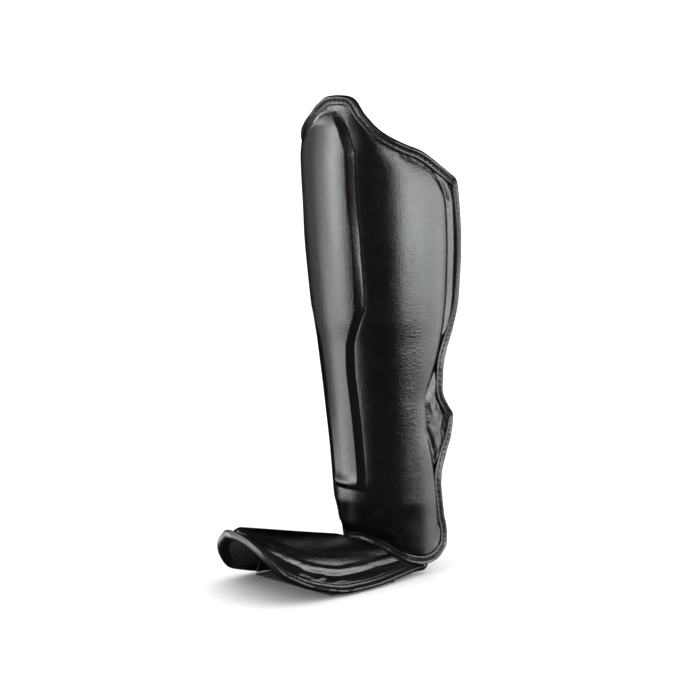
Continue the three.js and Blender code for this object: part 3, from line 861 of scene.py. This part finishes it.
def stitch_row(path, surface, inset, out, side=1):
    """One mesh of separate short stitches, each dipping into the leather at its ends."""
    count = max(1, int(path.total / STITCH_PITCH))
    starts = (np.arange(count) + 0.5) * path.total / count
    t = np.array([-0.5, -0.42, -0.2, 0.2, 0.42, 0.5])
    girth = np.array([0.35, 0.8, 1, 1, 0.8, 0.35])
    lift = np.array([-0.3, 0.05, 0.28, 0.28, 0.05, -0.3])
    turn = np.linspace(0, 2 * np.pi, 7)[:-1]
    stitches = []
    for start in starts:
        along = start + t * STITCH_LENGTH
        x, y = path.place(np.clip(along, 0, path.total), inset)
        line = surface(x, y, out + side * lift)
        up = surface(x, y, out + side * lift + side) - line
        up /= np.linalg.norm(up, axis=1, keepdims=True)
        forward = np.gradient(line, axis=0)
        across = np.cross(forward, up)
        across /= np.linalg.norm(across, axis=1, keepdims=True)
        ring = across[:, None] * np.cos(turn)[None, :, None] * STITCH_HALF_WIDTH
        ring = ring + up[:, None] * np.sin(turn)[None, :, None] * STITCH_HALF_HEIGHT
        stations = line[:, None] + ring * girth[:, None, None]
        points, faces, flat = tube(stations, along, False)
        stitches.append((points, facing_out(points, faces), flat))
    return joined(stitches)


def add_edging(part, path, surface, body, seed):
    """A part's edge tape, and the stitches on both faces of it."""
    tape = edge_tape(path, surface, seed)
    add_piece(f"{part}_edge_tape", tape, TAPE, body, [f"{part}_binding"])
    for name, level, side in (("outer", TAPE_LEVEL_OUT, 1), ("inner", TAPE_LEVEL_IN, -1)):
        row = stitch_row(path, surface, TAPE_STITCH, level, side=side)
        add_piece(f"{part}_stitches_{name}", row, THREAD, body)


# ---- the layers: leather, firm foam, soft foam and lining ----

# Each layer ends a little further in from the edge, inside the folded tape. Levels are measured
# out from the nominal surface.
SKIN_INSET = 2.6
FOAM_INSET = 4
RIDGE_BAR_INSET = 5.6
SKIN_THICKNESS = 1.1
GLUE = 0.3  # clearance behind the skin and behind the comfort foam
SKIN_DEPTH = SKIN_THICKNESS + GLUE
LEAST_FOAM = 0.2
LINING_THICKNESS = 0.8
LINING_RUMPLE = 0.18
LINING_PUFF = 1.2  # the lining bulges at most this far over the comfort foam
LINING_SINK = 0.4  # and sinks back by at most this share of its thickness
# Levels on the shin, each as (in the flange, under the panel).
FOAM_BACK = (-5.4, -9.2)
COMFORT_FRONT = (-5.6, -9.5)
LINING_BACK = (-5.9, -12.9)
RIDGE_BAR_FRONT = -0.9  # where the bar runs out at its edges
RIDGE_BAR_BACK = -1.2
# Levels on the foot.
CUSHION_BACK = -3.4
FOOT_FOAM_FRONT = -3.6
FOOT_FOAM_BACK = -5
FOOT_LINING_BACK = -5.3

SHIN = "shin_guard"
FOOT = "foot_guard"
# Leather that crosses the ankle is given the foot, the shin, and points in front of the crease and
# behind it; these pieces stay fixed in the frame.
BLEND_START = tuple(to_frame((0, -82, 30)))
BLEND_END = tuple(to_frame((0, -46, 30)))
ACROSS_ANKLE = (FOOT, SHIN, BLEND_START, BLEND_END)


def shin_grid(columns, rows, inset):
    angle, z = shin_place(columns[:, None], rows[None, :], inset)
    return angle, z, shin_flat(angle, z)


def shin_padding(angle, z):
    """1 on the padded panel, 0 on the flange."""
    return smoothstep(from_panel(angle, z), -4.5, 4.5)


def shin_outline():
    """The path round the shin's edge, anticlockwise seen from outside."""
    run = np.linspace(0, 1, 400)
    level, edge = 0 * run, 0 * run + 1
    sides = [(2 * run - 1, level), (edge, run), (1 - 2 * run, edge), (-edge, 1 - run)]
    lines = [np.stack(shin_flat(*shin_place(u, t, 0)), -1)[:-1] for u, t in sides]
    return Path(np.concatenate(lines), spacing=1.5, closed=True, rounding=3)


def build_shin_skin():
    columns = mirrored(steps_between((0, 10), (0.17, 26), (0.32, 26), (0.68, 34), (1, 0)))
    rows = steps_between((0, 22), (0.10, 20), (0.135, 100), (0.88, 40), (1, 0))
    angle, z, flat = shin_grid(columns, rows, SKIN_INSET)
    relief = shin_relief(angle, z)
    skin = layer(on_shin, angle, z, relief, relief - SKIN_THICKNESS, flat)
    add_piece("shin_skin", skin, SKIN, SHIN, ["shin_shell"])


def shin_lining(angle, z, flat, depth):
    """The lining, from its back at a depth to a face that the comfort foam has blown up."""
    back = on_shin(angle, z, depth)
    face = on_shin(angle, z, depth - LINING_THICKNESS)
    held = smoothstep(from_edge(angle, z), 12, 7)
    blown = puffed(face[::-1], held[::-1], LINING_PUFF)[::-1]
    through_it = back - face
    sunk = ((blown - face) * through_it).sum(axis=-1, keepdims=True) / LINING_THICKNESS**2
    return slab(back, blown - through_it * np.maximum(sunk - LINING_SINK, 0), flat)


def build_shin_padding():
    columns = mirrored(steps_between((0, 6), (0.17, 10), (0.32, 18), (0.68, 14), (1, 0)))
    rows = steps_between((0, 14), (0.12, 60), (0.9, 14), (1, 0))
    angle, z, flat = shin_grid(columns, rows, FOAM_INSET)
    pad = shin_padding(angle, z)
    front = shin_relief(angle, z) - ridge(angle, z) - SKIN_DEPTH
    core = layer(on_shin, angle, z, front, lerp(*FOAM_BACK, pad), flat)
    add_piece("shin_foam_core", core, FIRM_FOAM, SHIN, ["shin_foam"])

    pillow = from_edge(angle, z)
    rumple = LINING_RUMPLE * ripples(*flat, 24, 11) * smoothstep(pillow, 6, 20)
    depth = lerp(*LINING_BACK, pad) - 0.8 * shoulder(pillow - 7, 30) + rumple
    cloth = shin_lining(angle, z, flat, depth)
    add_piece("shin_lining_cloth", cloth, LINING, SHIN, ["shin_lining"])

    keep = np.ix_(np.abs(columns) <= 0.8, (rows > 0.05) & (rows < 0.95))
    angle, z, depth, flat = angle[keep], z[keep], depth[keep], (flat[0][keep], flat[1][keep])
    over = lerp(*COMFORT_FRONT, pad[keep])
    soft = layer(on_shin, angle, z, over, np.minimum(depth + GLUE, over - LEAST_FOAM), flat)
    nodes = ["shin_comfort_foam"]
    add_piece("shin_comfort_pad", soft, SOFT_FOAM, SHIN, nodes)


def build_ridge_bar():
    columns = mirrored(steps_between((0, 10), (0.19, 6), (0.23, 0)))
    rows = steps_between((0.12, 8), (0.15, 70), (0.9, 16), (0.935, 0))
    angle, z, flat = shin_grid(columns, rows, RIDGE_BAR_INSET)
    front = np.maximum(ridge(angle, z) - SKIN_DEPTH, RIDGE_BAR_FRONT)
    bar = layer(on_shin, angle, z, front, RIDGE_BAR_BACK, flat)
    add_piece("shin_ridge_bar", bar, FIRM_FOAM, SHIN, ["shin_ridge_foam"])


def build_shin():
    build_shin_skin()
    build_shin_padding()
    build_ridge_bar()
    add_edging("shin", shin_outline(), shin_at, SHIN, seed=21)


# ---- the foot part ----


def foot_outline():
    """The path down one side of the foot guard, round the toes and up the other side."""
    run = np.linspace(0, 1, 300)
    sides = [(0 * run - 1, 1 - run), (2 * run - 1, 0 * run), (0 * run + 1, run)]
    lines = [np.stack(foot_flat(*foot_place(u, v, 0)), -1)[:-1] for u, v in sides]
    return Path(np.concatenate(lines), spacing=1.5, closed=False, rounding=3)


def build_foot_skin():
    columns = mirrored(steps_between((0, 26), (0.45, 84), (1, 0)))
    rows = steps_between((0, 70), (0.3, 60), (0.75, 40), (1, 0))
    angle, y = foot_place(columns[:, None], rows[None, :], SKIN_INSET)
    relief = foot_relief(angle, y)
    flat = foot_flat(angle, y)
    skin = layer(on_foot, angle, y, relief, relief - SKIN_THICKNESS, flat)
    nodes = ["foot_shell", "ankle_gusset"]
    add_piece("foot_skin", skin, SKIN, ACROSS_ANKLE, nodes)


def build_foot_padding():
    columns = mirrored(steps_between((0, 14), (0.5, 26), (1, 0)))
    rows = steps_between((0, 18), (0.3, 20), (0.75, 16), (1, 0))
    angle, y = foot_place(columns[:, None], rows[None, :], FOAM_INSET)
    flat = foot_flat(angle, y)
    sink = foot_sink(angle, y)
    core = layer(on_foot, angle, y, FOOT_FOAM_FRONT - sink, FOOT_FOAM_BACK - sink, flat)
    add_piece("foot_foam_core", core, FIRM_FOAM, ACROSS_ANKLE, ["foot_foam"])

    edge = foot_inside(angle, y, EDGE_ROUNDING)
    depth = FOOT_LINING_BACK - sink - 0.9 * shoulder(edge - 6, 16)
    cloth = layer(on_foot, angle, y, depth, depth - LINING_THICKNESS, flat)
    add_piece("foot_lining_cloth", cloth, LINING, ACROSS_ANKLE, ["foot_lining"])

    keep = np.ix_(np.abs(columns) <= 0.66, (rows > 0.1) & (rows < 0.8))
    angle, y, sink, flat = angle[keep], y[keep], sink[keep], (flat[0][keep], flat[1][keep])
    top = np.maximum(foot_relief(angle, y) - SKIN_DEPTH, CUSHION_BACK + LEAST_FOAM - sink)
    pad = layer(on_foot, angle, y, top, CUSHION_BACK - sink, flat)
    nodes = ["foot_instep_pad"]
    add_piece("foot_instep_cushion", pad, SOFT_FOAM, ACROSS_ANKLE, nodes)


def sunk_foot_at(x, y, out):
    return foot_at(x, y, out - foot_sink(np.degrees(x / FOOT_RADIUS), y))


def build_foot():
    build_foot_skin()
    build_foot_padding()
    add_edging("foot", foot_outline(), sunk_foot_at, ACROSS_ANKLE, seed=31)


# ---- strips: straps, tabs and tapes ----


def strip(surface, x_range, y_range, lift, thickness, spacing=2.5, ribs=None, waves=0.0, seed=1):
    """A flat strip with rounded edges, laid on a surface that is given unrolled."""
    def edged(low, high, step):
        count = max(4, int((high - low) / step))
        inner = np.linspace(low + 1.2, high - 1.2, count)
        return np.concatenate([[low, low + 0.15, low + 0.5], inner, [high - 0.5, high - 0.15, high]])

    x = edged(*sorted(x_range), spacing)[:, None]
    y = edged(*sorted(y_range), spacing if ribs is None else ribs / 4)[None, :]
    half = thickness / 2
    rim = np.minimum(np.minimum(x - x.min(), x.max() - x), np.minimum(y - y.min(), y.max() - y))
    roundness = np.sqrt(1 - (1 - np.clip(rim / half, 0.02, 1)) ** 2)
    x, y = np.broadcast_arrays(x, y)
    middle = lift + half + waves * ripples(x, y, 26, seed)
    rib = 0 if ribs is None else 0.18 * np.abs(np.sin(np.pi * y / ribs))
    swollen = (half + rib) * roundness
    return slab(surface(x, y, middle + swollen), surface(x, y, middle - swollen), (x, y))


def strap_surface(strap):
    """Where a strap runs: inside the inner wing, behind the calf, and over the outer wing."""
    def surface(x, y, out):
        angle = np.degrees(x / STRAP_RADIUS)
        along = np.clip((angle - strap["start"]) / (strap["seam"] - strap["start"]), 0, 1)
        height = lerp(STRAP_INNER_HEIGHT, STRAP_CLOSED_HEIGHT, smoothstep(angle, *STRAP_RISE))
        return on_shin(angle, y, height - STRAP_SAG * np.sin(np.pi * along) + out)

    return surface


def wing_at(x, y, out):
    """The outside of the wing, by the same lengths as the straps."""
    angle = np.degrees(x / STRAP_RADIUS)
    return on_shin(angle, y, shin_relief(angle, y) + out)


def strap_x(angle):
    return np.radians(angle) * STRAP_RADIUS


def boxed_stitches(surface, x_range, y_range, margin, level, side=1, crossed=True):
    """Stitches round a rectangle, and corner to corner through it."""
    x0, x1 = x_range[0] + margin, x_range[1] - margin
    y0, y1 = y_range[0] + margin, y_range[1] - margin
    lines = [[(x0, y0), (x1, y0), (x1, y1), (x0, y1), (x0, y0)]]
    if crossed:
        lines += [[(x0, y0), (x1, y1)], [(x0, y1), (x1, y0)]]
    paths = [Path(line, spacing=0.5, closed=False, rounding=0) for line in lines]
    return joined([stitch_row(path, surface, 0, level, side=side) for path in paths])


def build_strap(name, strap):
    band, flap = f"{name}_strap", f"{name}_flap"
    heights = (strap["low"], strap["high"])
    strap_at = strap_surface(strap)

    def within(margin):
        return heights[0] + margin, heights[1] - margin

    def bending(first, second, seam):
        """A blend between two bodies over the last stretch before the seam that joins them."""
        run, level = np.array([seam - STRAP_BEND, seam]), sum(heights) / 2
        ends = strap_at(run, np.full(2, level), STRAP_THICKNESS / 2)
        return (first, second, *(tuple(point) for point in to_frame(ends)))

    anchor = (strap_x(strap["tab_end"]), strap_x(strap["start"] - SEAM_ANGLE))
    at_wing = bending(SHIN, band, anchor[1])
    shape = strip(strap_at, anchor, within(1), 0, STRAP_THICKNESS)
    add_piece(f"{name}_anchor_tab", shape, TAPE, at_wing, [f"{name}_strap_anchor"])
    shape = boxed_stitches(strap_at, anchor, within(1), ANCHOR_STITCH_MARGIN, 0, side=-1)
    add_piece(f"{name}_anchor_stitches", shape, THREAD, at_wing)

    elastic = (strap_x(strap["start"]), strap_x(strap["seam"]))
    at_flap = bending(band, flap, elastic[1])
    shape = strip(
        strap_at, elastic, heights, 0, STRAP_WEB_THICKNESS, ribs=RIB_PITCH, waves=0.1, seed=41,
    )
    add_piece(f"{name}_elastic_band", shape, ELASTIC, at_flap, [f"{name}_strap_elastic"])

    closing = (strap_x(strap["seam"] + SEAM_ANGLE), strap_x(strap["end"]))
    shape = strip(strap_at, closing, heights, 0, STRAP_THICKNESS, waves=0.15, seed=42)
    add_piece(f"{name}_flap_leather", shape, SKIN, flap, [f"{name}_strap_flap"])
    shape = boxed_stitches(
        strap_at, closing, heights, STRAP_STITCH_MARGIN, STRAP_THICKNESS, crossed=False,
    )
    add_piece(f"{name}_flap_stitches", shape, THREAD, flap)

    hook_end = strap["end"] - TOUCH_TAPE_MARGIN
    hook = (strap_x(hook_end - strap["tape"]), strap_x(hook_end))
    shape = strip(strap_at, hook, within(TOUCH_TAPE_MARGIN), HOOK_LEVEL, TOUCH_TAPE_THICKNESS)
    add_piece(f"{name}_hook_tape", shape, TOUCH, flap, [f"{name}_strap_hook"])

    pull = (strap_x(strap["end"] + 0.4), strap_x(strap["pull_tab"]))
    shape = strip(strap_at, pull, within(PULL_TAB_MARGIN), PULL_TAB_LEVEL, PULL_TAB_THICKNESS)
    add_piece(f"{name}_pull_leather", shape, TAPE, flap, [f"{name}_strap_pull_tab"])

    loop_end = hook_end - 360
    loop = (strap_x(loop_end - strap["tape"]), strap_x(loop_end))
    shape = strip(wing_at, loop, within(TOUCH_TAPE_MARGIN), 0.1, TOUCH_TAPE_THICKNESS, spacing=2)
    add_piece(f"{name}_loop_tape", shape, TOUCH, SHIN, [f"{name}_loop_patch"])


def build_sole_tab(name, side):
    inward = ELASTIC_TAB_DEPTH + ELASTIC_TAB_THICKNESS

    def tab_at(x, y, out):
        centre = through(FOOT_CROWN, y) - FOOT_RADIUS
        reach = (ELASTIC_THICKNESS + 0.6 - centre) / (FOOT_RADIUS - inward)
        foot = np.degrees(np.arccos(reach))
        angle = lerp(ELASTIC_TAB_TOP_ANGLE, foot, x / ELASTIC_TAB_LENGTH)
        return on_foot(side * angle, y, out - inward)

    length = (0, ELASTIC_TAB_LENGTH)
    shape = strip(tab_at, length, ELASTIC_TAB_Y, 0, ELASTIC_TAB_THICKNESS)
    add_piece(f"sole_tab_{name}", shape, TAPE, FOOT, [f"foot_elastic_tab_{name}"])
    shape = boxed_stitches(tab_at, length, ELASTIC_TAB_Y, STRAP_STITCH_MARGIN, 0, side=-1)
    add_piece(f"sole_tab_stitches_{name}", shape, THREAD, FOOT)


def build_under_sole():
    def ground_at(x, y, out):
        return np.stack([y, x, out + 0 * x], -1)

    across = (-ELASTIC_HALF_WIDTH, ELASTIC_HALF_WIDTH)
    level = (ELASTIC_THICKNESS - SOLE_WEB_THICKNESS) / 2
    shape = strip(ground_at, ELASTIC_Y, across, level, SOLE_WEB_THICKNESS, ribs=RIB_PITCH)
    add_piece("sole_elastic_band", shape, ELASTIC, FOOT, ["foot_elastic"])
    build_sole_tab("inner", 1)
    build_sole_tab("outer", -1)


build_shin()
build_foot()
build_under_sole()
for strap_name, strap_sizes in STRAPS.items():
    build_strap(strap_name, strap_sizes)

# ---- studio ----

# Softboxes stand round the guard: azimuth from the toes towards the inner side and width in
# degrees, bottom and top heights in metres, and brightness. Only glossy surfaces see them.
SOFTBOXES = {
    "front": (-20, 22, -0.1, 0.75, 11.5),
    "front_side": (-42, 22, -0.1, 0.75, 2.6),
    "front_low": (-31, 46, -0.6, -0.1, 5.4),
    "front_far": (-68, 30, -0.5, 0.75, 0.5),
    "rim": (-45, 110, 0.85, 1.1, 9.0),
    "wing_near": (84, 18, -0.13, 0.12, 16.0),
    "wing": (102, 18, -0.14, 0.12, 13.0),
    "wing_far": (131, 42, -0.14, 0.12, 7.5),
    "wing_high": (108, 82, 0.12, 0.55, 7.0),
    "wing_slope": (74, 28, 0.55, 1.0, 9.0),
    "wing_low": (131, 48, -0.9, -0.14, 2.8),
}
SOFTBOX_DISTANCE = 1.6
# Two more stand on their own: place, what they face, size and brightness.
SINGLE_SOFTBOXES = {
    "toe": ((-0.28, -0.17, -0.02), (-0.03, -0.12, -0.02), (0.3, 0.07), 3.0),
    "top": ((1.0, -0.5, 1.5), (0, 0, 0.3), (1.2, 0.7), 0.9),
}
STUDIO_TINT = (0.95, 0.985, 1.0)
WORLD_STRENGTH = 1.5
FLOOR_REACH = 6
FLOOR_SHADES = ((0.9, 0.9, 0.9), (0.92, 0.92, 0.92))


def add_light(name, location, aim, size, brightness):
    data = bpy.data.lights.new(name, "AREA")
    data.shape = "RECTANGLE"
    data.size, data.size_y = size
    data.energy = brightness * math.pi * size[0] * size[1]
    data.color = STUDIO_TINT
    light = linked(name, data)
    light.location = location
    light.rotation_euler = (Vector(aim) - Vector(location)).to_track_quat("-Z", "Y").to_euler()
    light.visible_camera = False
    light.visible_diffuse = False


def add_softboxes():
    for name, (azimuth, width, low, high, brightness) in SOFTBOXES.items():
        a = math.radians(azimuth)
        middle = (low + high) / 2
        location = (math.sin(a) * SOFTBOX_DISTANCE, -math.cos(a) * SOFTBOX_DISTANCE, middle)
        across = 2 * SOFTBOX_DISTANCE * math.tan(math.radians(width / 2))
        add_light(f"{name}_softbox", location, (0, 0, middle), (across, high - low), brightness)
    for name, (location, aim, size, brightness) in SINGLE_SOFTBOXES.items():
        add_light(f"{name}_softbox", location, aim, size, brightness)


def add_world():
    world = bpy.data.worlds.new("studio")
    bpy.context.scene.world = world
    bpy.context.scene.view_settings.view_transform = "Standard"
    world.use_nodes = True
    background = world.node_tree.nodes["Background"]
    background.inputs["Color"].default_value = (1, 1, 1, 1)
    background.inputs["Strength"].default_value = WORLD_STRENGTH
    world.cycles_visibility.glossy = False


def add_floor():
    shader = Shader("pale_floor", FLOOR_SHADES[0], 0.9, specular=0.0)
    shader.color(shader.noise(4, 2), *FLOOR_SHADES)
    mesh = bpy.data.meshes.new("floor")
    corners = [(x * FLOOR_REACH, y * FLOOR_REACH, 0) for x, y in ((-1, -1), (1, -1), (1, 1), (-1, 1))]
    mesh.from_pydata(corners, [], [(0, 1, 2, 3)])
    mesh.uv_layers.new(name="unrolled")
    mesh.materials.append(shader.material)
    floor = linked("floor", mesh)
    floor.visible_glossy = False
    floor.visible_shadow = False


add_softboxes()
add_world()
add_floor()
